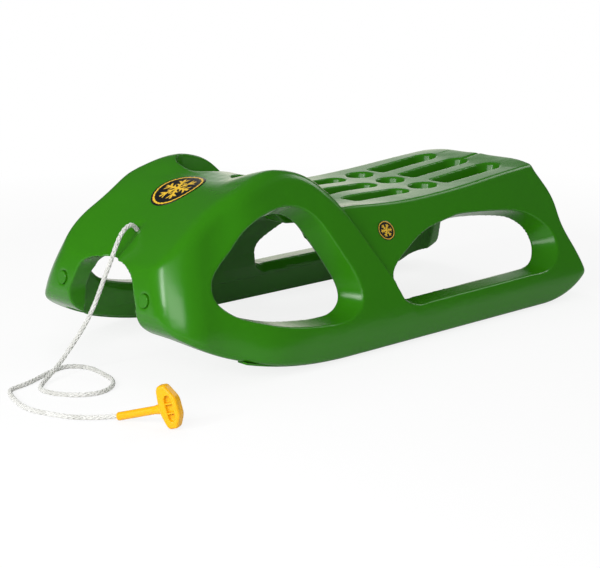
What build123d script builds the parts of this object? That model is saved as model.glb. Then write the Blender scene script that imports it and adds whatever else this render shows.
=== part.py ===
"""Child's moulded plastic snow sled with a towing rope and a T-handle.

Frame: millimetres, +Z up, the bow points to -Y and the sled's own left side is +X.
The origin is on the ground, in the middle of the footprint of the sled.
"""
import os
from math import asin, cos, pi, radians, sin, sqrt, tan

from build123d import *

# ---- driving dimensions ------------------------------------------------------------
TAIL_Y = 461.0                # tail tips
SILL_Z = 40.0                 # below this height the sides stand almost upright
BASE_HALF, SILL_HALF = 215.0, 221.0
ARCH_LEAN = 0.383             # the bow and arches lean in, mm for each mm up
ARCH_PLANE = 242.9            # x + ARCH_LEAN * z on their outer faces
PANEL_LEAN = 0.526            # the seat's side panels lean in more
PANEL_PLANE = 252.1

# roundings of the moulding
SHOULDER_R = 24.0             # crests of the arches and the lip of the bow
SEAT_R = 7.0                  # edges of the seat
TAIL_CORNER_R = 16.0
BASE_R = 9.0                  # lower edge, all the way round
SPINE_R = 12.0

# runner rails: plastic strips under both runners
RAIL_T = 3.0
RAIL_IN, RAIL_OUT = 184.0, 204.0
FLAT_FRONT, FLAT_REAR = -153.0, 334.0
ROCKER_R, UPTURN_R, TOE_R, TAIL_R = 700.0, 331.0, 40.0, 205.0
ROCKER_END_Y, UPTURN_END_Y = -354.0, -444.0
RAIL_FRONT_Y, RAIL_REAR_Y = -350.0, 436.0
TAIL_ANGLE = 44.0             # the tail's arc ends behind the tail panel

# side openings
WALL_T = 42.0                 # from the outer face to the narrowest part of an opening
FLARE = 16.0                  # beyond that the opening widens over this depth

# two leg openings behind the cowl, either side of the spine
LEG_FRONT, LEG_REAR = -243.0, -80.0
LEG_IN, LEG_OUT = 24.0, 112.0
LEG_CORNER = 38.0

# notch between the toes
NOTCH_HALF = 84.0
NOTCH_TOP = 168.0
COWL_SPACE_HALF = 108.0       # the hollow under the cowl, either side of the middle

# seat pockets
POCKET_PITCH = 76.0
POCKET_DRAFT = 12.0           # degrees
# each row's start height, front and rear end, width at that height, and floor height
POCKET_ROWS = ((227, -18, 123, 46.0, 191), (239, 199, 356, 49.5, 195))
ROUND_POCKET_Y, ROUND_POCKET_R = 164.0, 26.0
GROOVE_W, GROOVE_DEPTH = 8.0, 2.5   # V groove from the middle rear pocket to the tail

# tow rope: a braided cord knotted behind a hole in the cowl
ROPE_D = 7.0
ROPE_HOLE = Vector(0, -389, 205.5)
ROPE_HOLE_D = 9.0
COWL_SLOPE = 29.4             # degrees, the cowl's slope at the hole
KNOT_SEAT = 10.0              # from the cowl's face down to the knot's seat
KNOT_R = 9.5
SCOOP_R, SCOOP_DEPTH = 40.0, 4.0    # hollow in the cowl from the hole down to the notch
ROPE_FLOOR_Z = 3.6            # height of the rope's middle where it lies on the ground

# towing handle
STEM_D, STEM_LENGTH = 14.0, 74.0
GRIP_T = 16.0
SOCKET_DEPTH = 10.0

# plugs that close the moulding's blow holes in the toes
PLUG_D, PLUG_X, PLUG_Y, PLUG_Z = 20.0, 103.0, -457.0, 124.0

os.makedirs("parts", exist_ok=True)


# ---- runner curve ------------------------------------------------------------------
def runner_curve(lift):
    """Points and arcs of the underside, raised by lift, from the toe to the tail."""
    a1 = asin((FLAT_FRONT - ROCKER_END_Y) / ROCKER_R)
    z1 = ROCKER_R * (1 - cos(a1))
    a2 = asin(sin(a1) + (ROCKER_END_Y - UPTURN_END_Y) / UPTURN_R)
    z2 = z1 + UPTURN_R * (cos(a1) - cos(a2))

    def on_rocker(a):
        return (FLAT_FRONT - (ROCKER_R - lift) * sin(a), ROCKER_R - (ROCKER_R - lift) * cos(a))

    c2 = (ROCKER_END_Y + UPTURN_R * sin(a1), z1 + UPTURN_R * cos(a1))

    def on_upturn(a):
        return (c2[0] - (UPTURN_R - lift) * sin(a), c2[1] - (UPTURN_R - lift) * cos(a))

    c3 = (UPTURN_END_Y + TOE_R * sin(a2), z2 + TOE_R * cos(a2))

    def on_toe(a):
        return (c3[0] - (TOE_R - lift) * sin(a), c3[1] - (TOE_R - lift) * cos(a))

    def on_tail(a):
        return (FLAT_REAR + (TAIL_R - lift) * sin(a), TAIL_R - (TAIL_R - lift) * cos(a))

    return a1, a2, on_rocker, on_upturn, on_toe, on_tail


def plan_outline(z, half_width, front_y, toe_inset=21.0):
    """Outline of the sled's sides at height z: blunt bow, swelling to the full width."""
    w = half_width
    corner = 58.0
    toe_w = w - toe_inset
    with BuildSketch(Plane.XY.offset(z)) as outline:
        with BuildLine():
            front = Line((0, front_y), (toe_w - corner, front_y))
            bow = RadiusArc(front @ 1, (toe_w, front_y + corner), -corner)
            swell = Spline(bow @ 1, (w - 6, -309), (w, -219), tangents=((0, 1), (0, 1)))
            side = Line(swell @ 1, (w, TAIL_Y + 15))
            Line(side @ 1, (0, TAIL_Y + 15))
            mirror(about=Plane.YZ)
        make_face()
    return outline.sketch


def side_form(lean, plane_x):
    """The leaning sides, from below the runners to above the arches."""
    base = [plan_outline(-5, BASE_HALF, -463, 25.0), plan_outline(SILL_Z, SILL_HALF, -463, 29.0)]
    bow = ((90, -461), (150, -451), (220, -426), (300, -388))
    with BuildPart() as form:
        loft(base + [plan_outline(z, plane_x - lean * z, front_y) for z, front_y in bow])
    return form.part


def height_form(stations):
    """Everything under a top surface that is dished or crowned across the sled.

    Each station gives y, the height 130 mm out from the middle, and the height at the middle.
    """
    sections = []
    edge_x = 230.0
    for y, out_z, middle_z in stations:
        edge_z = middle_z + (out_z - middle_z) * (edge_x / 130) ** 2
        pull = (4 * middle_z - edge_z) / 3
        with BuildSketch(Plane.XZ.offset(-y)) as section:
            with BuildLine():
                top = Bezier((-edge_x, edge_z), (-edge_x / 3, pull), (edge_x / 3, pull),
                             (edge_x, edge_z))
                down = Line(top @ 1, (edge_x, -20))
                floor = Line(down @ 1, (-edge_x, -20))
                Line(floor @ 1, top @ 0)
            make_face()
        sections.append(section.sketch)
    with BuildPart() as form:
        loft(sections)
    return form.part


COWL_STATIONS = [(-484, 124, 119), (-459, 158, 150), (-447, 171, 163), (-428, 190, 179),
                 (-408, 207, 195), (-369, 236, 222), (-329, 259, 246), (-289, 276, 262),
                 (-248, 288.5, 269.5), (-209, 294, 270.5), (-169, 285, 261), (-143, 268, 249),
                 (-108, 233, 222), (-64, 185, 180), (-20, 137, 135), (24, 89, 90)]
SEAT_STATIONS = [(-124, 215, 215), (-4, 215, 215), (116, 215, 215.5), (203, 220, 220),
                 (274, 226, 227), (341, 231.5, 233), (396, 234, 240), (490, 238, 247)]

# ---- side outlines, used to trim both forms ----------------------------------------------
a1, a2, on_rocker, on_upturn, on_toe, on_tail = runner_curve(RAIL_T)
tail_a = radians(TAIL_ANGLE)
toe_a = radians(88)
with BuildPart() as runner_trim:
    with BuildSketch(Plane.YZ):
        with BuildLine():
            flat = Line((FLAT_REAR, RAIL_T), (FLAT_FRONT, RAIL_T))
            rocker = ThreePointArc(flat @ 1, on_rocker(a1 / 2), on_rocker(a1))
            upturn = ThreePointArc(rocker @ 1, on_upturn((a1 + a2) / 2), on_upturn(a2))
            toe = ThreePointArc(upturn @ 1, on_toe((a2 + toe_a) / 2), on_toe(toe_a))
            nose = Line(toe @ 1, ((toe @ 1).X - 60, (toe @ 1).Y))
            up = Line(nose @ 1, ((nose @ 1).X, 320))
            tail = ThreePointArc((FLAT_REAR, RAIL_T), on_tail(tail_a / 2), on_tail(tail_a))
            over = Line(up @ 1, ((tail @ 1).X, 320))
            Line(over @ 1, tail @ 1)
        make_face()
    extrude(amount=260, both=True)

with BuildPart() as tail_trim:
    with BuildSketch(Plane.YZ):
        with BuildLine():
            back = Line((398, 320), (398, 250))
            rear = Spline(back @ 1, (402, 232), (415, 207), (427, 182), (431, 158), (429, 128),
                          (440, 88), (461, 34), (475, -12), tangents=((0, -1), (0.3, -1)))
            under = Line(rear @ 1, (-200, -12))
            ahead = Line(under @ 1, (-200, 320))
            Line(ahead @ 1, back @ 0)
        make_face()
    extrude(amount=260, both=True)

# ---- front: cowl and arches -----------------------------------------------------------
# the crease behind the arches is a plane that leans back as it goes down
crease = Plane(origin=(0, -108, 225), x_dir=(1, 0, 0), z_dir=(0, 114, 68))


def off_crease(e):
    """True for an edge that doesn't lie in the crease plane."""
    return abs(crease.to_local_coords(e.center()).Z) > 3


with BuildPart() as front_form:
    add(side_form(ARCH_LEAN, ARCH_PLANE))
    add(height_form(COWL_STATIONS), mode=Mode.INTERSECT)
    split(bisect_by=crease, keep=Keep.BOTTOM)
    shoulders = [e for e in front_form.edges() if e.center().Z > 150 and abs(e.center().X) > 110
                 and off_crease(e) and e.center().Y > -425 and e.length > 10]
    lip = [e for e in front_form.edges() if 140 < e.center().Z < 215 and off_crease(e)
           and e.center().Y < -400]
    fillet(ShapeList(set(shoulders + lip)), SHOULDER_R)
    add(runner_trim.part, mode=Mode.INTERSECT)
    lower = [e for e in front_form.edges() if abs(e.center().X) > 150 and e.center().Z < 95
             and off_crease(e) and e.center().Y < -150 and abs((e % 0.5).Z) < 0.9]
    fillet(lower, BASE_R)

with BuildPart() as seat_form:
    add(side_form(PANEL_LEAN, PANEL_PLANE))
    add(height_form(SEAT_STATIONS), mode=Mode.INTERSECT)
    add(tail_trim.part, mode=Mode.INTERSECT)
    split(bisect_by=Plane.XZ.offset(118), keep=Keep.BOTTOM)
    corners = [e for e in seat_form.edges() if e.center().Y > 405 and abs(e.center().X) > 120
               and e.length > 100]
    fillet(corners, TAIL_CORNER_R)
    rim = [e for e in seat_form.edges() if e.center().Z > 205 and abs(e.center().X) > 120
           and e.length > 300]
    rear_rim = [e for e in seat_form.edges() if e.center().Z > 225 and e.center().Y > 385]
    fillet(rim + rear_rim, SEAT_R)
    add(runner_trim.part, mode=Mode.INTERSECT)
    lower = [e for e in seat_form.edges() if e.center().Z < 60 and e.center().Y > -100
             and (abs(e.center().X) > 210 or e.center().Y > 450)]
    fillet(lower, BASE_R)

with BuildPart() as spine:
    with BuildSketch(Plane.YZ):
        with BuildLine():
            crown = Spline((-225, 262), (-190, 259), (-150, 248), (-100, 229), (-30, 211),
                           tangents=((1, 0.05), (1, -0.1)))
            down = Line(crown @ 1, (-30, 190))
            under = Line(down @ 1, (-225, 190))
            Line(under @ 1, crown @ 0)
        make_face()
    extrude(amount=LEG_IN + 4, both=True)
    crown_face = spine.faces().sort_by(Axis.Z)[-1]
    fillet(crown_face.edges().filter_by(lambda e: abs(e.center().X) > 10), SPINE_R)

# ---- space under the sled ---------------------------------------------------------------
# height, half width, front and rear of the hollow between the walls
TUNNEL = [(-8, 186, -446, 455), (0, 183, -446, 450), (40, 171, -438, 436), (64, 162, -430, 428),
          (90, 157, -427, 416), (120, 149, -424, 403), (150, 138, -414, 403), (170, 122, -398, 400),
          (179, 104, -380, 396)]
# height and half width of the arched way out at the tail
TAIL_ARCH = [(-8, 172), (33, 150), (62, 134), (90, 120), (115, 105), (134, 84), (146, 44)]


def box_outline(z, half_width, front_y, rear_y, corner):
    """Rounded plan outline of a hollow at height z."""
    with BuildSketch(Plane.XY.offset(z)) as outline:
        with Locations((0, (front_y + rear_y) / 2)):
            RectangleRounded(2 * half_width, rear_y - front_y, corner)
    return outline.sketch


with BuildPart() as tunnel_space:
    loft([box_outline(z, w, front_y, rear_y, 40) for z, w, front_y, rear_y in TUNNEL], ruled=True)

with BuildPart() as tail_space:
    loft([box_outline(z, w, 300, TAIL_Y + 60, 20) for z, w in TAIL_ARCH], ruled=True)

# under the cowl the hollow rises to leave a shell of even thickness
with BuildPart() as cowl_space:
    with BuildSketch(Plane.YZ):
        with BuildLine():
            ceiling = Spline((-424, 130), (-400, 158), (-369, 178), (-329, 198), (-289, 213),
                             (-248, 225), (-209, 229), (-169, 221), (-143, 208), (-108, 180))
            Polyline(ceiling @ 1, (-90, 150), (-424, 100), ceiling @ 0)
        make_face()
    extrude(amount=COWL_SPACE_HALF, both=True)

with BuildPart() as leg_space:
    with BuildSketch(Plane.XY.offset(80)):
        leg_x, leg_y = (LEG_IN + LEG_OUT) / 2, (LEG_FRONT + LEG_REAR) / 2
        with Locations((-leg_x, leg_y), (leg_x, leg_y)):
            RectangleRounded(LEG_OUT - LEG_IN, LEG_REAR - LEG_FRONT, LEG_CORNER)
    extrude(amount=260)

with BuildPart() as notch_space:
    with BuildSketch(Plane.XZ.offset(380)):
        with BuildLine():
            jamb = Line((NOTCH_HALF + 3, -20), (NOTCH_HALF, 104))
            Spline(jamb @ 1, (77, 124), (66, 148), (52, 160), (28, 166.5), (0, NOTCH_TOP),
                   tangents=((0, 1), (-1, 0)))
            Line(jamb @ 0, (0, -20))
            mirror(about=Plane.YZ)
        make_face()
    extrude(amount=170)

# ---- side openings ----------------------------------------------------------------------
# y and z round each opening, on the outer face and where it is narrowest
FRONT_RIM = [(-396, 129), (-394, 153), (-379, 172), (-348, 193), (-322, 214), (-285, 231),
             (-251, 240), (-226, 243), (-203, 240), (-182, 231), (-165, 218), (-147, 192),
             (-130, 161), (-115, 131), (-109, 103), (-113, 82), (-133, 66), (-188, 60),
             (-241, 66), (-294, 77), (-330, 88), (-364, 101), (-384, 113)]
FRONT_NECK = [(-374, 127), (-371, 145), (-357, 159), (-333, 176), (-307, 194), (-277, 210),
              (-248, 219), (-226, 222), (-207, 220), (-191, 213), (-177, 201), (-161, 177),
              (-147, 150), (-135, 125), (-127, 101), (-130, 85), (-146, 71), (-188, 65),
              (-237, 69), (-288, 77), (-318, 85), (-346, 96), (-363, 110)]
REAR_RIM = [(-33, 90), (-32, 114), (-13, 129), (22, 146), (60, 162), (99, 172), (133, 177),
            (163, 181), (204, 180), (284, 174), (340, 163), (368, 148), (389, 127), (392, 107),
            (384, 87), (357, 64), (303, 61), (241, 60), (151, 59), (60, 59), (-2, 60), (-24, 70)]
REAR_NECK = [(-14, 88), (-13, 104), (2, 116), (34, 132), (69, 147), (104, 156), (135, 160),
             (163, 163), (200, 163), (270, 156), (318, 145), (340, 134), (358, 117), (365, 101),
             (360, 86), (338, 69), (298, 64), (238, 63), (151, 62), (62, 62), (8, 63), (-8, 73)]


def widened(points, middle, factors):
    """An outline scaled about a middle point, by its own factor each way."""
    return [tuple(m + (p - m) * f for p, m, f in zip(point, middle, factors)) for point in points]


FRONT_FLARED = widened(FRONT_NECK, (-250, 175), (1.1, 1.13))
REAR_FLARED = widened(REAR_NECK, (-14, 141), (1.03, 1.18))


def opening(outlines, side, lean, plane_x):
    """A through opening in one side wall: it narrows to a neck, then flares inwards."""
    sections = []
    stretch = sqrt(1 + lean ** 2)
    rim, neck, flared = outlines
    depths = ((-8, rim), (WALL_T, neck), (WALL_T + FLARE, flared), (150, flared))
    for depth, points in depths:
        wall = Plane(origin=(side * (plane_x - depth), 0, 0), x_dir=(0, 1, 0),
                     z_dir=(1, 0, side * lean))
        with BuildSketch(wall) as section:
            with BuildLine():
                Spline(*[(y, z * stretch) for y, z in points], periodic=True)
            make_face()
        sections.append(section.sketch)
    with BuildPart() as space:
        loft(sections, ruled=True)
    return space.part


# ---- seat pockets -------------------------------------------------------------------------
def slot_outline(front_y, rear_y, width):
    """A pocket's mouth: blunt in front, fully round behind."""
    half = width / 2
    with BuildSketch() as outline:
        with BuildLine():
            base = Line((half, rear_y - half), (half, front_y))
            front = Line(base @ 1, (-half, front_y))
            left = Line(front @ 1, (-half, rear_y - half))
            RadiusArc(left @ 1, base @ 0, half)
        make_face()
        fillet(outline.vertices().group_by(Axis.Y)[0], 10)
    return outline.sketch


with BuildPart() as pocket_space:
    for start_z, front_y, rear_y, width, floor_z in POCKET_ROWS:
        with BuildSketch(Plane.XY.offset(start_z)):
            with Locations((-POCKET_PITCH, 0), (0, 0), (POCKET_PITCH, 0)):
                add(slot_outline(front_y, rear_y, width))
        extrude(amount=floor_z - start_z, taper=POCKET_DRAFT)
    with BuildSketch(Plane.XY.offset(225)):
        with Locations(*[(x, ROUND_POCKET_Y) for x in (-POCKET_PITCH, 0, POCKET_PITCH)]):
            Circle(ROUND_POCKET_R)
    extrude(amount=-34, taper=POCKET_DRAFT)

# the groove follows the seat as it rises to the tail
with BuildPart() as groove_space:
    for y, seat_z in ((350, 234.2), (402, 240.6)):
        with BuildSketch(Plane.XZ.offset(-y)):
            with BuildLine():
                Polyline((-GROOVE_W, seat_z + GROOVE_DEPTH), (0, seat_z - GROOVE_DEPTH),
                         (GROOVE_W, seat_z + GROOVE_DEPTH), close=True)
            make_face()
    loft()

# ---- rope hole and plug holes -------------------------------------------------------------
cowl_normal = Vector(0, -sin(radians(COWL_SLOPE)), cos(radians(COWL_SLOPE)))
hole_plane = Plane(origin=ROPE_HOLE, x_dir=(1, 0, 0), z_dir=cowl_normal)
seat_plane = hole_plane.offset(-KNOT_SEAT)
plug_planes = [Plane(origin=(side * PLUG_X, PLUG_Y, PLUG_Z), x_dir=(1, 0, 0), z_dir=(0, -6, 1))
               for side in (1, -1)]

with BuildPart() as hole_space:
    with BuildSketch(hole_plane.offset(12)):
        Circle(ROPE_HOLE_D / 2)
    extrude(amount=-40)
    with BuildSketch(seat_plane):
        Circle(KNOT_R + 4)
    extrude(amount=-50)
    for plane in plug_planes:
        with BuildSketch(plane.offset(20)):
            Circle(PLUG_D / 2)
        extrude(amount=-28)

# the scoop starts at the hole and is deepest at the notch
scoop_start = ROPE_HOLE + cowl_normal * (SCOOP_R + 0.5)
lip_point = Vector(0, -444, 166)
scoop_end = lip_point + cowl_normal * (SCOOP_R - SCOOP_DEPTH)
scoop_run = (scoop_end - scoop_start).normalized()
with BuildPart() as scoop_space:
    with BuildSketch(Plane(origin=scoop_start - scoop_run * 10, z_dir=scoop_run)):
        Circle(SCOOP_R)
    extrude(amount=120)

# ---- the moulding ---------------------------------------------------------------------------
with BuildPart() as sled_body:
    add(front_form.part)
    add(seat_form.part)
    add(spine.part)
    for space in (tunnel_space, tail_space, cowl_space, leg_space, notch_space):
        add(space.part, mode=Mode.SUBTRACT)
    for side in (1, -1):
        front_outlines = (FRONT_RIM, FRONT_NECK, FRONT_FLARED)
        rear_outlines = (REAR_RIM, REAR_NECK, REAR_FLARED)
        add(opening(front_outlines, side, ARCH_LEAN, ARCH_PLANE), mode=Mode.SUBTRACT)
        add(opening(rear_outlines, side, PANEL_LEAN, PANEL_PLANE), mode=Mode.SUBTRACT)
    for space in (pocket_space, groove_space, scoop_space, hole_space):
        add(space.part, mode=Mode.SUBTRACT)
sled_body.part.label = "sled_body"
export_step(sled_body.part, "parts/sled_body.step")

# ---- runner rails -----------------------------------------------------------------------------
rail_arcs = [runner_curve(lift)[2:] for lift in (0, RAIL_T)]
rail_front_a = asin((FLAT_FRONT - RAIL_FRONT_Y) / ROCKER_R)
rail_rear_a = asin((RAIL_REAR_Y - FLAT_REAR) / TAIL_R)
for name, side in (("left", 1), ("right", -1)):
    with BuildPart() as rail:
        with BuildSketch(Plane.YZ.offset(side * (RAIL_IN + RAIL_OUT) / 2)):
            with BuildLine():
                edges = []
                for lift, (on_rocker, _, _, on_tail) in zip((0, RAIL_T), rail_arcs):
                    rocker = ThreePointArc(on_rocker(rail_front_a), on_rocker(rail_front_a / 2),
                                           (FLAT_FRONT, lift))
                    Line(rocker @ 1, (FLAT_REAR, lift))
                    tail = ThreePointArc((FLAT_REAR, lift), on_tail(rail_rear_a / 2),
                                         on_tail(rail_rear_a))
                    edges.append((rocker @ 0, tail @ 1))
                Line(edges[0][0], edges[1][0])
                Line(edges[0][1], edges[1][1])
            make_face()
        extrude(amount=(RAIL_OUT - RAIL_IN) / 2, both=True)
    rail.part.label = f"runner_rail_{name}"
    export_step(rail.part, f"parts/runner_rail_{name}.step")

# ---- toe plugs --------------------------------------------------------------------------------
for name, plane in zip(("left", "right"), plug_planes):
    with BuildPart() as toe_plug:
        with BuildSketch(plane.offset(-8)):
            Circle(PLUG_D / 2)
        extrude(amount=9.5)
        fillet(toe_plug.faces().sort_by(Axis.Y)[0].edges(), 1)
    toe_plug.part.label = f"toe_plug_{name}"
    export_step(toe_plug.part, f"parts/toe_plug_{name}.step")

# ---- knot behind the cowl ---------------------------------------------------------------------
with BuildPart() as rope_knot:
    with Locations(seat_plane.offset(-0.75 * KNOT_R)):
        Sphere(KNOT_R)
    split(bisect_by=seat_plane, keep=Keep.BOTTOM)
rope_knot.part.label = "rope_knot"
export_step(rope_knot.part, "parts/rope_knot.step")

# ---- towing handle: lies on its stem's end and one tip of the grip --------------------
stem_end = Vector(211.4, -585.6, 7.5)
stem_dir = Vector(0.8774, 0.4017, 0.2622)
across = Vector(0.4163, -0.9092, 0)
handle_plane = Plane(origin=stem_end, x_dir=stem_dir, z_dir=across)
stem_plane = Plane(origin=stem_end, x_dir=across, z_dir=stem_dir)

with BuildPart() as grip:
    with BuildSketch(handle_plane) as grip_outline:
        with BuildLine():
            Polyline((69, -28.2), (67, 32), (86, 32), (102, 12), (102, -12), (91, -28.2),
                     close=True)
        make_face()
        fillet(grip_outline.vertices().filter_by(lambda v: v.X > 100), 17)
        fillet(grip_outline.vertices().filter_by(lambda v: abs(v.Y) > 25), 7.5)
    extrude(amount=GRIP_T / 2, both=True)
    fillet(grip.faces().filter_by(lambda f: abs(f.normal_at().dot(across)) > 0.99).edges(), 4)
    for side in (1, -1):
        with BuildSketch(handle_plane.offset(side * GRIP_T / 2)):
            with Locations((86, 0)):
                SlotOverall(36, 13, rotation=90)
        extrude(amount=-side * 3, mode=Mode.SUBTRACT)
with BuildPart() as tow_handle:
    with BuildSketch(stem_plane):
        Circle(STEM_D / 2)
    extrude(amount=STEM_LENGTH)
    fillet(tow_handle.edges().filter_by(GeomType.CIRCLE).sort_by(Axis.X)[0], 1.5)
    add(grip.part)
    with BuildSketch(stem_plane):
        Circle(ROPE_D / 2 + 0.3)
    extrude(amount=SOCKET_DEPTH, mode=Mode.SUBTRACT)
tow_handle.part.label = "tow_handle"
export_step(tow_handle.part, "parts/tow_handle.step")

# ---- tow rope ------------------------------------------------------------------------------------
z = ROPE_FLOOR_Z
rope_route = [
    ROPE_HOLE - cowl_normal * KNOT_SEAT, ROPE_HOLE + cowl_normal * 10,
    (6, -413.5, 212.5), (9, -428.5, 200), (12.3, -446, 170), (10, -460, 140), (3, -471, 105),
    (-8.5, -484, 70), (-19.5, -500, 41), (-18.5, -523, 18.5), (-5.5, -550, 8), (9, -573, z),
    (30, -592, z), (62, -588, z), (92, -566, z), (104, -537, z), (91, -506, z), (60, -485, z),
    (25, -480, z), (-12, -475, z), (-42, -497, z), (-33, -530, z), (-18, -561, z), (-4, -592, z),
    (2, -625, z), (30, -638, z), (63, -648, z), (97, -653, z), (130, -643, z), (160, -631, z),
    (182, -613, z), stem_end - stem_dir * 12, stem_end + stem_dir * SOCKET_DEPTH]
rope_route = [Vector(p) for p in rope_route]


def corner_radii(points):
    """For each corner of a route, 0.45 of the shorter run over the tangent of half the turn."""
    radii = []
    for before, here, after in zip(points, points[1:], points[2:]):
        turn = radians((here - before).get_angle(after - here))
        shorter = min((here - before).length, (after - here).length)
        radii.append(0.45 * shorter / tan(turn / 2))
    return radii


rope_radii = corner_radii(rope_route)
print("rope corner radii, mm:", [round(r, 1) for r in rope_radii])
with BuildPart() as tow_rope:
    with BuildLine() as rope_path:
        FilletPolyline(*rope_route, radius=rope_radii)
    with BuildSketch(Plane(origin=rope_route[0], z_dir=cowl_normal)):
        Circle(ROPE_D / 2)
    sweep(transition=Transition.ROUND)
rope_length = sum(e.length for e in rope_path.edges())
print("rope length", round(rope_length, 1), "mm, volume over section times length",
      round(tow_rope.part.volume / (rope_length * pi * ROPE_D ** 2 / 4), 4))
tow_rope.part.label = "tow_rope"
export_step(tow_rope.part, "parts/tow_rope.step")
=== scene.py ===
"""Looks of a child's moulded snow sled with a braided towing rope and a T-handle, in metres.

The bow points to -Y and the sled's own left side is +X.
"""
from math import cos, pi, radians, sin

import bmesh
import bpy
import numpy as np
from mathutils import Matrix, Vector
from mathutils.bvhtree import BVHTree


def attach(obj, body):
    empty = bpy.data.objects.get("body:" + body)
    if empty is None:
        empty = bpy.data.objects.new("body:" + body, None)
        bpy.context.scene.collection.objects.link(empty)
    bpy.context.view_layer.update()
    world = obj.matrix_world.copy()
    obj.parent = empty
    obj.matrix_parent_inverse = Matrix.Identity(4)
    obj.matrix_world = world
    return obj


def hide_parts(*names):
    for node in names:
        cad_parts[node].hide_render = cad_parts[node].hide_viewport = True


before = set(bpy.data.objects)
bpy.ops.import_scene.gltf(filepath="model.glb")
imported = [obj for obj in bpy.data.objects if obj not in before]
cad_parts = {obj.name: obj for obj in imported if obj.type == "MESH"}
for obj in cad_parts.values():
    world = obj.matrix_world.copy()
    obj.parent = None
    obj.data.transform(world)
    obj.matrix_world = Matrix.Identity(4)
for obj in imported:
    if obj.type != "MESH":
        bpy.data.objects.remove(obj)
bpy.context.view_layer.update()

# ---- camera ---------------------------------------------------------------------------
LOOK_AT = Vector((0, -0.053, 0.065))
AZIMUTH, ELEVATION, DISTANCE = radians(46.91), radians(13.51), 2.4436
LENS_MM, SENSOR_MM = 87.2, 36.0

camera_data = bpy.data.cameras.new("camera")
camera_data.lens = LENS_MM
camera_data.sensor_width = SENSOR_MM
camera_data.sensor_fit = "HORIZONTAL"
camera_data.clip_start, camera_data.clip_end = 0.05, 60
camera = bpy.data.objects.new("camera", camera_data)
view_from = Vector((sin(AZIMUTH) * cos(ELEVATION), -cos(AZIMUTH) * cos(ELEVATION),
                    sin(ELEVATION)))
camera.location = LOOK_AT + view_from * DISTANCE
camera.rotation_euler = (-view_from).to_track_quat("-Z", "Y").to_euler()
bpy.context.scene.collection.objects.link(camera)
bpy.context.scene.camera = camera

# ---- helpers for pieces ---------------------------------------------------------------
MERGE_WITHIN = 0.00002       # joins the loose triangles of a CAD node
HALFWAY = 0.5                # smoothing: how far a point goes towards its neighbours' middle


def new_object(name, mesh):
    """A mesh object at the origin, riding on the sled."""
    piece = bpy.data.objects.new(name, mesh)
    bpy.context.scene.collection.objects.link(piece)
    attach(piece, "root")
    return piece


def mesh_from(bm, name):
    """Turns a bmesh into a mesh and frees it."""
    mesh = bpy.data.meshes.new(name)
    bm.to_mesh(mesh)
    bm.free()
    return mesh


def shade_smooth(mesh):
    for face in mesh.polygons:
        face.use_smooth = True


def apply_modifiers(mesh, name, settings):
    """The mesh with a stack of modifiers applied: (type, {setting: value}) for each."""
    worker = bpy.data.objects.new(name, mesh)
    bpy.context.scene.collection.objects.link(worker)
    for kind, values in settings:
        modifier = worker.modifiers.new(kind, kind)
        for key, value in values.items():
            setattr(modifier, key, value)
    depsgraph = bpy.context.evaluated_depsgraph_get()
    finished = bpy.data.meshes.new_from_object(worker.evaluated_get(depsgraph))
    finished.name = name
    bpy.data.objects.remove(worker)
    return finished


def softened_copy(node, name, voxel, rounds, keep=1.0):
    """A copy of a CAD node with its edges softened as moulding leaves them."""
    bm = bmesh.new()
    bm.from_mesh(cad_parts[node].data)
    bmesh.ops.remove_doubles(bm, verts=bm.verts, dist=MERGE_WITHIN)
    stack = [("REMESH", {"mode": "VOXEL", "voxel_size": voxel, "adaptivity": 0.0,
                         "use_smooth_shade": True}),
             ("SMOOTH", {"factor": HALFWAY, "iterations": rounds})]
    if keep < 1:
        stack.append(("DECIMATE", {"decimate_type": "COLLAPSE", "ratio": keep}))
    mesh = apply_modifiers(mesh_from(bm, node + "_merged"), name, stack)
    mesh.materials.clear()
    shade_smooth(mesh)
    piece = new_object(name, mesh)
    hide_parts(node)
    return piece


# ---- tow rope -------------------------------------------------------------------------
FLOOR_Z = 0.0036             # the rope's middle where it lies on the floor
HOLE = Vector((0, -0.389, 0.2055))
COWL_SLOPE = radians(29.4)
COWL_NORMAL = Vector((0, -sin(COWL_SLOPE), cos(COWL_SLOPE)))
STEM_END = Vector((0.2114, -0.5856, 0.0075))
STEM_RUN = Vector((0.8774, 0.4017, 0.2622))     # from the stem's end towards the grip
OUT_OF_HOLE, INTO_STEM = 0.010, 0.010
BEFORE_STEM = 0.012

rope_route = [
    HOLE - COWL_NORMAL * OUT_OF_HOLE, HOLE + COWL_NORMAL * OUT_OF_HOLE,
    (0.006, -0.4135, 0.2125), (0.009, -0.4285, 0.200), (0.0123, -0.446, 0.170),
    (0.010, -0.460, 0.140), (0.003, -0.471, 0.105), (-0.0085, -0.484, 0.070),
    (-0.0195, -0.500, 0.041), (-0.0185, -0.523, 0.0185), (-0.0055, -0.550, 0.008),
    (0.009, -0.573, FLOOR_Z), (0.030, -0.592, FLOOR_Z), (0.062, -0.588, FLOOR_Z),
    (0.092, -0.566, FLOOR_Z), (0.104, -0.537, FLOOR_Z), (0.091, -0.506, FLOOR_Z),
    (0.060, -0.485, FLOOR_Z), (0.025, -0.480, FLOOR_Z), (-0.012, -0.475, FLOOR_Z),
    (-0.042, -0.497, FLOOR_Z), (-0.033, -0.530, FLOOR_Z), (-0.018, -0.561, FLOOR_Z),
    (-0.004, -0.592, FLOOR_Z), (0.002, -0.625, FLOOR_Z), (0.030, -0.638, FLOOR_Z),
    (0.063, -0.648, FLOOR_Z), (0.097, -0.653, FLOOR_Z), (0.130, -0.643, FLOOR_Z),
    (0.160, -0.631, FLOOR_Z), (0.182, -0.613, FLOOR_Z),
    STEM_END - STEM_RUN * BEFORE_STEM, STEM_END + STEM_RUN * INTO_STEM]
STEPS_PER_POINT = 20

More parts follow.
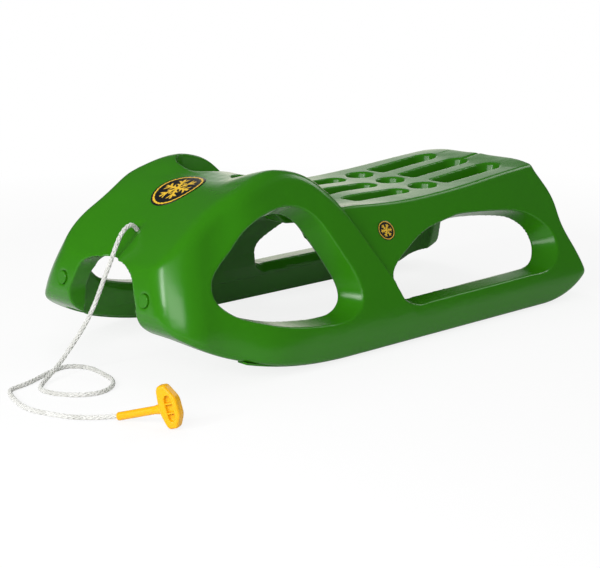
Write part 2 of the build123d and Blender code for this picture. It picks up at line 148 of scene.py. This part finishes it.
BRAID_LAY = 0.034            # length of rope for one turn of a yarn
YARNS_EACH_WAY = 4
YARN_R = 0.00112             # each yarn's own radius
YARN_RING = 0.00220          # where the yarns' middles lie, off the rope's middle
YARN_WEAVE = 0.00040         # how far a yarn goes over and under the others
CORE_R = 0.0020


def new_curve(name, thickness, roundness):
    """An empty 3-D curve with a round section."""
    curve = bpy.data.curves.new(name, "CURVE")
    curve.dimensions = "3D"
    curve.bevel_depth = thickness
    curve.bevel_resolution = roundness
    return curve


def route_curve(points):
    """The rope's middle line, a smooth NURBS spline."""
    curve = bpy.data.curves.new("rope_route", "CURVE")
    curve.dimensions = "3D"
    spline = curve.splines.new("NURBS")
    spline.points.add(len(points) - 1)
    for point, place in zip(spline.points, points):
        point.co = (*place, 1)
    spline.order_u = 3
    spline.use_endpoint_u = True
    spline.resolution_u = STEPS_PER_POINT
    return curve


def curve_mesh(curve, name):
    """The mesh that Blender makes of a curve."""
    holder = bpy.data.objects.new(name, curve)
    bpy.context.scene.collection.objects.link(holder)
    depsgraph = bpy.context.evaluated_depsgraph_get()
    mesh = bpy.data.meshes.new_from_object(holder.evaluated_get(depsgraph))
    mesh.name = name
    bpy.data.objects.remove(holder)
    return mesh


def carried_frames(points):
    """For each point of a line, its direction and two directions across it that don't twist."""
    frames = []
    across = None
    for i in range(len(points)):
        ahead = (points[min(i + 1, len(points) - 1)] - points[max(i - 1, 0)]).normalized()
        if across is None:
            across = ahead.orthogonal().normalized()
        across = (across - ahead * across.dot(ahead)).normalized()
        frames.append((ahead, across, ahead.cross(across)))
    return frames


def add_strand(curve, points, thickness):
    """One yarn of the braid, as a spline of a curve whose own bevel is 1."""
    spline = curve.splines.new("POLY")
    spline.points.add(len(points) - 1)
    for point, place in zip(spline.points, points):
        point.co = (*place, 1)
        point.radius = thickness


route_points = [v.co.copy() for v in curve_mesh(route_curve(rope_route), "route").vertices]
route_frames = carried_frames(route_points)
travelled = [0.0]
for here, after in zip(route_points, route_points[1:]):
    travelled.append(travelled[-1] + (after - here).length)

braid = new_curve("tow_rope_braid", 1.0, 1)
braid.use_fill_caps = True
for turning in (1, -1):
    for yarn in range(YARNS_EACH_WAY):
        line = []
        for place, (ahead, across, up), s in zip(route_points, route_frames, travelled):
            phase = 2 * pi * s / BRAID_LAY
            angle = turning * phase + yarn * 2 * pi / YARNS_EACH_WAY
            ring = YARN_RING + turning * YARN_WEAVE * cos(YARNS_EACH_WAY * phase)
            line.append(place + (across * cos(angle) + up * sin(angle)) * ring)
        add_strand(braid, line, YARN_R)
add_strand(braid, route_points, CORE_R)
tow_rope = new_object("tow_rope_braid", curve_mesh(braid, "tow_rope_braid"))
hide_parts("tow_rope")

# the knot behind the cowl: the rope's end tied round itself, a trefoil
KNOT_BEHIND = 0.0172         # its middle, below the cowl's face
KNOT_ACROSS = 0.0020         # the trefoil is 6 of these across
KNOT_DEPTH = 1.7
KNOT_ROPE_R = 0.0031
KNOT_STEPS = 72

knot_middle = HOLE - COWL_NORMAL * KNOT_BEHIND
knot_turn = COWL_NORMAL.to_track_quat("Z", "Y").to_matrix()
knot = new_curve("rope_knot_turns", KNOT_ROPE_R, 3)
knot_spline = knot.splines.new("POLY")
knot_spline.points.add(KNOT_STEPS - 1)
knot_spline.use_cyclic_u = True
for i, point in enumerate(knot_spline.points):
    t = 2 * pi * i / KNOT_STEPS
    trefoil = Vector((sin(t) + 2 * sin(2 * t), cos(t) - 2 * cos(2 * t),
                      -KNOT_DEPTH * sin(3 * t)))
    point.co = (*(knot_middle + knot_turn @ (trefoil * KNOT_ACROSS)), 1)
rope_knot = new_object("rope_knot_turns", curve_mesh(knot, "rope_knot_turns"))
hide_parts("rope_knot")
shade_smooth(tow_rope.data)
shade_smooth(rope_knot.data)

# ---- sled body ------------------------------------------------------------------------
SHELL_VOXEL, SHELL_ROUNDS, SHELL_KEEP = 0.0018, 10, 0.19
# where the surface is pressed out: the middle, the reach each way, and the push
CREST_SWELL = (0.094, -0.238, 0.280), (0.048, 0.065, 0.035), (0, 0, 0.0042)
SEAT_REAR_SWELL = (0.080, 0.385, 0.230), (0.060, 0.055, 0.055), (0, 0.0085, 0.0028)
SEAT_REAR_MIDDLE_SWELL = (0, 0.385, 0.230), (0.080, 0.055, 0.055), (0, 0.0035, 0.0012)


def swell(mesh, middle, reach, push):
    """Presses the surface out by push around a point, and the same on the other side.

    Around a point on the centre line it presses twice.
    """
    for side in (1, -1):
        centre = Vector((middle[0] * side, middle[1], middle[2]))
        way = Vector((push[0] * side, push[1], push[2]))
        for vert in mesh.vertices:
            away = vert.co - centre
            far = (away.x / reach[0]) ** 2 + (away.y / reach[1]) ** 2 + (away.z / reach[2]) ** 2
            if far < 1:
                vert.co += way * (1 - far) ** 2


SILL_FRONT, SILL_REAR = 0.010, 0.305
SILL_INNER, SILL_OUTER = 0.166, 0.219
SILL_LOW, SILL_HIGH = 0.036, 0.074
SILL_STRIP = 0.003           # width of the strips in which the sill is straightened
SILL_STEP = 0.006            # between the heights taken along a strip
SILL_EASE = 0.020            # over which straightening fades out, at the ends and downwards
PROBE_FROM = 0.09            # above the sill, in the opening
FEWEST_HEIGHTS = 12


def true_sill(mesh):
    """Takes the waves out of the top of the side sills, which run straight."""
    verts = [v for v in mesh.vertices if SILL_INNER < abs(v.co.x) < SILL_OUTER
             and SILL_FRONT < v.co.y < SILL_REAR and SILL_LOW < v.co.z < SILL_HIGH]
    tree = BVHTree.FromPolygons([v.co for v in mesh.vertices],
                                [tuple(p.vertices) for p in mesh.polygons])
    lengthwise = np.arange(SILL_FRONT, SILL_REAR, SILL_STEP)
    down = Vector((0, 0, -1))
    for side in (1, -1):
        for strip in np.arange(SILL_INNER, SILL_OUTER, SILL_STRIP):
            heights = []
            for y in lengthwise:
                start = Vector((side * (strip + SILL_STRIP / 2), y, PROBE_FROM))
                top = tree.ray_cast(start, down)[0]
                heights.append(top.z if top else np.nan)
            heights = np.array(heights)
            known = ~np.isnan(heights) & (heights > SILL_LOW)
            if known.sum() < FEWEST_HEIGHTS:
                continue
            level = np.polyval(np.polyfit(lengthwise[known], heights[known], 1), lengthwise)
            wave = np.where(known, heights - level, 0.0)
            for v in verts:
                if v.co.x * side > 0 and strip <= abs(v.co.x) < strip + SILL_STRIP:
                    sill = np.interp(v.co.y, lengthwise, np.where(known, heights, level))
                    ends = min(1.0, (v.co.y - SILL_FRONT) / SILL_EASE,
                               (SILL_REAR - v.co.y) / SILL_EASE)
                    near = max(0.0, 1 - abs(v.co.z - sill) / SILL_EASE)
                    v.co.z -= np.interp(v.co.y, lengthwise, wave) * ends * near


sled_shell = softened_copy("sled_body", "sled_shell", SHELL_VOXEL, SHELL_ROUNDS, SHELL_KEEP)
true_sill(sled_shell.data)
for middle, reach, push in (CREST_SWELL, SEAT_REAR_SWELL, SEAT_REAR_MIDDLE_SWELL):
    swell(sled_shell.data, middle, reach, push)

# ---- towing handle ----------------------------------------------------------------------
HANDLE_VOXEL, HANDLE_ROUNDS = 0.0009, 4
STEM_ACROSS = Vector((0.4163, -0.9092, 0))      # square to the grip's two faces
BAR_RUN = STEM_ACROSS.cross(STEM_RUN)           # along the grip
GRIP_MIDDLE = 0.080          # from the stem's end
GRIP_NARROWER = 0.22         # of the grip's outer half
GRIP_NECK = 0.008            # half the width at which the stem meets the grip
GRIP_INSIDE_FROM = 0.06      # the grip's side towards the stem starts here
GRIP_LOW_MOVE, GRIP_HIGH_MOVE = 0.006, 0.003
NECK_FADE, INSIDE_FADE = 0.020, 0.012
STEM_LENGTH = 0.066
STEM_SLIMMER = 0.18
STEM_FADE = 0.008            # before the grip, where the stem is back at full thickness
STEM_LOWER = 0.0011          # at its end, to stay on the floor
HOLLOW_MIDDLE = 0.086
HOLLOW_HALF_WIDTH, HOLLOW_HALF_LENGTH, HOLLOW_FLOOR = 0.0066, 0.0178, 0.0062
HOLLOW_DEEPER = 0.0026       # the grip's hollows, below the CAD's
RIB_MIDDLE = 0.0845
RIB_ASIDE = 0.0065
RIB_UP = 0.0046              # off the grip's middle plane
RIB_SIZE = (0.0105, 0.0020, 0.0052)
RIB_EDGE = 0.0005


def shape_handle(mesh):
    """Deepens the grip's hollows, narrows the grip and slims the stem."""
    for vert in mesh.vertices:
        along = (vert.co - STEM_END).dot(STEM_RUN)
        aside = (vert.co - STEM_END).dot(BAR_RUN)
        across = (vert.co - STEM_END).dot(STEM_ACROSS)
        if (abs(across) < HOLLOW_FLOOR and abs(aside) < HOLLOW_HALF_LENGTH
                and abs(along - HOLLOW_MIDDLE) < HOLLOW_HALF_WIDTH):
            vert.co -= STEM_ACROSS * HOLLOW_DEEPER * (1 if across > 0 else -1)
        if along > GRIP_MIDDLE:
            vert.co -= STEM_RUN * (along - GRIP_MIDDLE) * GRIP_NARROWER
        elif abs(aside) > GRIP_NECK and along > GRIP_INSIDE_FROM:
            reach = (min(1.0, (abs(aside) - GRIP_NECK) / NECK_FADE)
                     * min(1.0, (GRIP_MIDDLE - along) / INSIDE_FADE))
            vert.co += STEM_RUN * reach * (GRIP_LOW_MOVE if aside < 0 else GRIP_HIGH_MOVE)
        if along < STEM_LENGTH:
            slim = min(1.0, (STEM_LENGTH - along) / STEM_FADE)
            off = vert.co - STEM_END - STEM_RUN * along
            lower = Vector((0, 0, STEM_LOWER)) * slim * (1 - max(along, 0) / STEM_LENGTH)
            vert.co -= off * STEM_SLIMMER * slim + lower


def grip_ribs(mesh):
    """Stiffening ribs across the hollow of the grip, on both faces."""
    bm = bmesh.new()
    bm.from_mesh(mesh)
    turn = Matrix((STEM_RUN, BAR_RUN, STEM_ACROSS)).transposed().to_4x4()
    for face in (1, -1):
        for aside in (-RIB_ASIDE, RIB_ASIDE):
            middle = (STEM_END + STEM_RUN * RIB_MIDDLE + BAR_RUN * aside
                      + STEM_ACROSS * face * RIB_UP)
            rib = bmesh.ops.create_cube(bm, size=1.0, matrix=Matrix.Translation(middle) @ turn
                                        @ Matrix.Diagonal((*RIB_SIZE, 1)))
            edges = {e for v in rib["verts"] for e in v.link_edges}
            bmesh.ops.bevel(bm, geom=list(edges), offset=RIB_EDGE, segments=2, affect="EDGES",
                            profile=0.5, material=-1)
    bm.to_mesh(mesh)
    bm.free()


handle = softened_copy("tow_handle", "tow_handle_moulded", HANDLE_VOXEL, HANDLE_ROUNDS)
shape_handle(handle.data)
grip_ribs(handle.data)
shade_smooth(handle.data)

# ---- badges: a snowflake in a ringed oval ----------------------------------------------
BADGE_THICKNESS = 0.0005
BADGE_LIFT = 0.0001
BADGE_RIM_POINTS, BADGE_RINGS = 64, 10
BADGE_ABOVE, BADGE_PROBE = 0.05, 0.12   # each point is dropped on to the shell from above
BADGE_ROUNDS = 2
shell_tree = BVHTree.FromObject(sled_shell, bpy.context.evaluated_depsgraph_get())


def badge(name, middle, normal, upright, width, height):
    """A thin oval plate that lies on the shell. Its UV map runs from -1 to 1 both ways."""
    normal = normal.normalized()
    upright = (upright - normal * upright.dot(normal)).normalized()
    sideways = upright.cross(normal)
    bm = bmesh.new()
    bmesh.ops.create_circle(bm, cap_ends=True, cap_tris=True, segments=BADGE_RIM_POINTS,
                            radius=1.0)
    spokes = [e for e in bm.edges if not e.is_boundary]
    bmesh.ops.subdivide_edges(bm, edges=spokes, cuts=BADGE_RINGS - 1)
    bmesh.ops.triangulate(bm, faces=bm.faces)
    uv = bm.loops.layers.uv.new("plate")
    for face in bm.faces:
        for loop in face.loops:
            loop[uv].uv = loop.vert.co.xy
    for vert in bm.verts:
        start = middle + sideways * vert.co.x * width / 2 + upright * vert.co.y * height / 2
        found = shell_tree.ray_cast(start + normal * BADGE_ABOVE, -normal, BADGE_PROBE)[0]
        vert.co = (found if found else start) + normal * BADGE_LIFT
    mesh = apply_modifiers(mesh_from(bm, name), name, [
        ("SMOOTH", {"factor": HALFWAY, "iterations": BADGE_ROUNDS}),
        ("SOLIDIFY", {"thickness": BADGE_THICKNESS, "offset": 1.0})])
    shade_smooth(mesh)
    return new_object(name, mesh)


COWL_BADGE_AT = Vector((-0.006, -0.303, 0.252))
COWL_BADGE_FACES, COWL_BADGE_UP = Vector((0, -0.42, 0.9)), Vector((0, 1, 0.4))
COWL_BADGE_SIZE = (0.078, 0.098)
PANEL_LEAN = 0.526
SIDE_BADGE_SIZE = (0.037, 0.034)

badges = [badge("cowl_badge", COWL_BADGE_AT, COWL_BADGE_FACES, COWL_BADGE_UP, *COWL_BADGE_SIZE)]
for name, side in (("side_badge_left", 1), ("side_badge_right", -1)):
    badges.append(badge(name, Vector((side * 0.160, -0.013, 0.175)),
                        Vector((side, 0, PANEL_LEAN)), Vector((0, 0, 1)), *SIDE_BADGE_SIZE))


# ---- shader helpers ---------------------------------------------------------------------
class Value:
    """A node's socket. Arithmetic on a number socket adds Math nodes."""

    def __init__(self, nodes, socket):
        self.nodes = nodes
        self.socket = socket

    def math(self, operation, *others):
        return self.nodes.node("ShaderNodeMath", {"operation": operation}, self, *others)

    def reflected(self, operation, first):
        return self.nodes.node("ShaderNodeMath", {"operation": operation}, first, self)

    def __add__(self, other):
        return self.math("ADD", other)

    def __sub__(self, other):
        return self.math("SUBTRACT", other)

    def __rsub__(self, other):
        return self.reflected("SUBTRACT", other)

    def __mul__(self, other):
        return self.math("MULTIPLY", other)

    def __truediv__(self, other):
        return self.math("DIVIDE", other)

    def __rtruediv__(self, other):
        return self.reflected("DIVIDE", other)

    __radd__ = __add__
    __rmul__ = __mul__

    def clamped(self):
        return self.math("MAXIMUM", 0.0).math("MINIMUM", 1.0)

    def below(self, edge, softness):
        """1 below the edge, 0 above it, with a soft step between."""
        return ((edge - self) / softness + 0.5).clamped()


def find_socket(sockets, key):
    """A socket by its number, its identifier or its name, with _ for a space."""
    if isinstance(key, int):
        return sockets[key]
    for socket in sockets:
        if socket.identifier == key:
            return socket
    return sockets[key.replace("_", " ")]


class Nodes:
    """The nodes of a material or the world, and the one way that they are added."""

    def __init__(self, tree, output):
        self.tree = tree
        tree.nodes.clear()
        self.output = tree.nodes.new(output)

    def node(self, kind, settings=None, *inputs, output=0, **named):
        """Adds a node. Its settings come first, then the values or links of its sockets."""
        added = self.tree.nodes.new(kind)
        for key, value in (settings or {}).items():
            setattr(added, key, value)
        pairs = list(zip(added.inputs, inputs))
        pairs += [(find_socket(added.inputs, key), value) for key, value in named.items()]
        for socket, value in pairs:
            if isinstance(value, Value):
                self.tree.links.new(value.socket, socket)
            else:
                socket.default_value = value
        return Value(self, find_socket(added.outputs, output))

    def surface(self, shader):
        self.tree.links.new(shader.socket, self.output.inputs["Surface"])

    def place(self):
        return self.node("ShaderNodeTexCoord", output="Object")

    def noise(self, scale, detail=2.0, roughness=0.5):
        """Noise on Object coordinates, scale patches to the metre."""
        return self.node("ShaderNodeTexNoise", Vector=self.place(), Scale=scale,
                         Detail=detail, Roughness=roughness)

    def mix(self, amount, low, high):
        """A colour between two others."""
        return self.node("ShaderNodeMix", {"data_type": "RGBA"}, Factor_Float=amount,
                         A_Color=low, B_Color=high, output="Result_Color")

    def bump(self, height, distance, strength):
        return self.node("ShaderNodeBump", Height=height, Distance=distance, Strength=strength)

    def eased(self, value, low, high, low_value, high_value):
        """A smooth step from one value to another."""
        return self.node("ShaderNodeMapRange", {"interpolation_type": "SMOOTHSTEP"}, value, low,
                         high, low_value, high_value)

    def ray(self, name):
        return self.node("ShaderNodeLightPath", output=name)

    def seen_directly(self, mirrored=1.0):
        """1 for rays that see the background: straight, mirrored or through something clear."""
        return (self.ray("Is Camera Ray") + self.ray("Is Glossy Ray") * mirrored
                + self.ray("Is Transmission Ray")).clamped()


class Finish(Nodes):
    """A material and its nodes."""

    def __init__(self, name):
        self.material = bpy.data.materials.new(name)
        self.material.use_nodes = True
        super().__init__(self.material.node_tree, "ShaderNodeOutputMaterial")

    def principled(self, **sockets):
        self.surface(self.node("ShaderNodeBsdfPrincipled", **sockets))
        return self


# ---- finishes ---------------------------------------------------------------------------
GREEN = (0.027, 0.185, 0.003, 1)
GREEN_DEEP = (0.024, 0.165, 0.003, 1)
YELLOW = (0.82, 0.42, 0.003, 1)
YELLOW_DEEP = (0.74, 0.36, 0.003, 1)
YARN_WHITE = (0.66, 0.66, 0.64, 1)
YARN_GREY = (0.56, 0.56, 0.53, 1)
PRINT_BLACK = (0.008, 0.008, 0.010, 1)
PRINT_YELLOW = (0.80, 0.50, 0.03, 1)
PLASTIC_SPECULAR = 0.28
SHELL_GLOSS, RAIL_GLOSS, HANDLE_GLOSS = 0.22, 0.42, 0.33     # roughness
SHELL_PEEL, HANDLE_PEEL = 0.00006, 0.00008                   # depth of the orange peel
# noise patches to the metre
CLOUDS, SCUFFS, PEEL = 9.0, 160.0, 420.0
FIBRES, GRIME = 2600.0, 60.0
PRINT_WEAR = 90.0


def moulded_plastic(name, colour, deeper, gloss, orange_peel=SHELL_PEEL):
    """Gloss moulded plastic: faint clouds in the colour, orange peel and light scuffs."""
    finish = Finish(name)
    clouds = finish.noise(CLOUDS, 3.0)
    scuffs = finish.noise(SCUFFS, 4.0, 0.7)
    peel = finish.noise(PEEL, 1.0)
    return finish.principled(
        Base_Color=finish.mix(clouds, colour, deeper),
        Roughness=gloss + (clouds - 0.5) * 0.08 + (scuffs - 0.5) * 0.06,
        Normal=finish.bump(peel, orange_peel, 0.6), Specular_IOR_Level=PLASTIC_SPECULAR)


def braided_rope(name):
    """Off-white polyester yarn: fine fibres and a little grime between the strands."""
    finish = Finish(name)
    fibres = finish.noise(FIBRES, 2.0, 0.6)
    grime = finish.noise(GRIME, 3.0)
    return finish.principled(
        Base_Color=finish.mix(grime.below(0.5, 0.3), YARN_WHITE, YARN_GREY),
        Roughness=0.75, Normal=finish.bump(fibres, 0.0002, 0.7), Sheen_Weight=0.2,
        Specular_IOR_Level=0.3)


def badge_print(name):
    """Black oval with a yellow ring and a six-armed snowflake, printed on gloss film."""
    finish = Finish(name)
    place = finish.node("ShaderNodeUVMap", {"uv_map": "plate"})
    x = finish.node("ShaderNodeSeparateXYZ", None, place, output="X")
    y = finish.node("ShaderNodeSeparateXYZ", None, place, output="Y")
    distance = (x * x + y * y).math("SQRT")
    ring_at, ring_half, ring_blur = 0.87, 0.035, 0.02
    ring = (distance - ring_at).math("ABSOLUTE").below(ring_half, ring_blur)
    # six equal sectors, folded on to one arm
    sector = pi / 3
    turn = y.math("ARCTAN2", x) / sector
    folded = (turn - turn.math("ROUND")).math("ABSOLUTE") * sector
    along = distance * folded.math("COSINE")
    off = distance * folded.math("SINE")
    blur = 0.03
    arm_half, arm_end = 0.045, 0.66
    arm = off.below(arm_half, blur) * along.below(arm_end, blur)

    def twig(start, end, half, slant=0.9):
        """A twig that leaves the arm aslant."""
        line = (off - (along - start) * slant).math("ABSOLUTE").below(half, blur)
        return line * along.below(end, blur)

    twigs = twig(0.38, 0.58, 0.045) + twig(0.18, 0.33, 0.04)
    drawn = (ring + arm + twigs).math("MINIMUM", 1.0)
    wear = finish.noise(PRINT_WEAR, 3.0)
    return finish.principled(
        Base_Color=finish.mix(drawn, PRINT_BLACK, PRINT_YELLOW),
        Roughness=0.28 + wear * 0.12, Specular_IOR_Level=0.4)


def dress(piece, finish):
    piece.data.materials.clear()
    piece.data.materials.append(finish.material)


green_plastic = moulded_plastic("green_plastic", GREEN, GREEN_DEEP, SHELL_GLOSS)
rail_plastic = moulded_plastic("rail_plastic", GREEN, GREEN_DEEP, RAIL_GLOSS)
yellow_plastic = moulded_plastic("yellow_plastic", YELLOW, YELLOW_DEEP, HANDLE_GLOSS,
                                 HANDLE_PEEL)
rope_finish = braided_rope("rope_braid")
print_finish = badge_print("badge_print")

dress(sled_shell, green_plastic)
dress(handle, yellow_plastic)
dress(tow_rope, rope_finish)
dress(rope_knot, rope_finish)
for piece in badges:
    dress(piece, print_finish)
for node in ("runner_rail_left", "runner_rail_right"):
    dress(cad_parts[node], rail_plastic)
for node in ("toe_plug_left", "toe_plug_right"):
    dress(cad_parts[node], green_plastic)

# ---- floor ------------------------------------------------------------------------------
WHITE = (1, 1, 1, 1)
FLOOR_HALF = 14              # half the floor's side
FLOOR_PAINT = (0.86, 0.86, 0.86, 1)
FLOOR_GLOW = 0.84            # share of white that shows near the sled, so that its shadow stays
FLOOR_MIRRORED = 0.22        # share of that which the sled's gloss mirrors
WHITE_FROM, WHITE_OVER = 0.9, 0.8   # the floor turns to plain white beyond the shadow

floor_bm = bmesh.new()
bmesh.ops.create_grid(floor_bm, x_segments=1, y_segments=1, size=FLOOR_HALF)
floor = bpy.data.objects.new("floor", mesh_from(floor_bm, "floor"))
bpy.context.scene.collection.objects.link(floor)

floor_finish = Finish("studio_floor")
paint = floor_finish.node("ShaderNodeBsdfPrincipled", Base_Color=FLOOR_PAINT, Roughness=0.9,
                          Specular_IOR_Level=0.0)
glow = floor_finish.node("ShaderNodeEmission", Color=WHITE, Strength=1.0)
away = floor_finish.node("ShaderNodeVectorMath", {"operation": "LENGTH"}, floor_finish.place(),
                         output="Value")
white = ((away - WHITE_FROM) / WHITE_OVER).clamped() * (1 - FLOOR_GLOW) + FLOOR_GLOW
floor_finish.surface(floor_finish.node(
    "ShaderNodeMixShader", None, white * floor_finish.seen_directly(FLOOR_MIRRORED), paint, glow))
dress(floor, floor_finish)

# ---- world ------------------------------------------------------------------------------
AMBIENT = 0.40               # light on the sled from all round
ROOM = 0.09                  # what gloss mirrors, except the white backdrop low behind
# the backdrop's edges, in parts of a ray's direction: its whole white, then where it ends
BACKDROP_BEHIND = 0.8, 0.5
BACKDROP_ASIDE = 0.11, 0.24
BACKDROP_TOP = 0.30, 0.42

world = bpy.data.worlds.new("studio")
world.use_nodes = True
bpy.context.scene.world = world
studio = Nodes(world.node_tree, "ShaderNodeOutputWorld")
direction = studio.node("ShaderNodeTexCoord", output="Generated")


def towards(way):
    """How far a ray of the world points one way, from -1 to 1."""
    return studio.node("ShaderNodeVectorMath", {"operation": "DOT_PRODUCT"}, direction, way,
                       output="Value")


behind = towards((-sin(AZIMUTH), cos(AZIMUTH), 0))
off_axis = towards((cos(AZIMUTH), sin(AZIMUTH), 0)).math("ABSOLUTE")
height = towards((0, 0, 1))
mirrored = (studio.eased(behind, *BACKDROP_BEHIND[::-1], 0.0, 1.0 - ROOM)
            * studio.eased(off_axis, *BACKDROP_ASIDE, 1.0, 0.0)
            * studio.eased(height, *BACKDROP_TOP, 1.0, 0.0)) + ROOM
backdrop = mirrored + studio.ray("Is Camera Ray") * (1 - mirrored)
strength = (backdrop - AMBIENT) * studio.seen_directly() + AMBIENT
studio.surface(studio.node("ShaderNodeBackground", Color=WHITE, Strength=strength))

# ---- lamps ------------------------------------------------------------------------------
SLED_MIDDLE = (0, 0, 0.12)
BOW, SEAT_TOP = (0, -0.1, 0.12), (0, 0, 0.2)
BOW_CORNER = (0.1, -0.3, 0.12)
WARM = (1.0, 0.84, 0.62)


def softbox(name, place, aim, width, height, watts):
    """A large rectangular lamp aimed at a point."""
    data = bpy.data.lights.new(name, "AREA")
    data.shape = "RECTANGLE"
    data.size, data.size_y = width, height
    data.energy = watts
    lamp = bpy.data.objects.new(name, data)
    lamp.location = place
    lamp.rotation_euler = (Vector(aim) - Vector(place)).to_track_quat("-Z", "Y").to_euler()
    lamp.visible_camera = False
    bpy.context.scene.collection.objects.link(lamp)
    return lamp


softbox("key_softbox", (0.02, -2.63, 1.24), BOW, 0.34, 0.80, 23)
softbox("side_softbox", (1.05, -1.90, 1.00), BOW_CORNER, 1.5, 0.9, 29)
softbox("rear_softbox", (0.2, 2.5, 1.9), SLED_MIDDLE, 1.4, 1.0, 16)
far_side_softbox = softbox("far_side_softbox", (-1.5, 0.25, 2.6), SLED_MIDDLE, 1.2, 1.0, 14)
far_side_softbox.visible_glossy = False
backdrop_glow = softbox("backdrop_glow", (-2.3, 2.1, 0.42), SEAT_TOP, 1.7, 0.84, 2.2)
backdrop_glow.data.color = WARM

bpy.context.scene.view_settings.view_transform = "Standard"
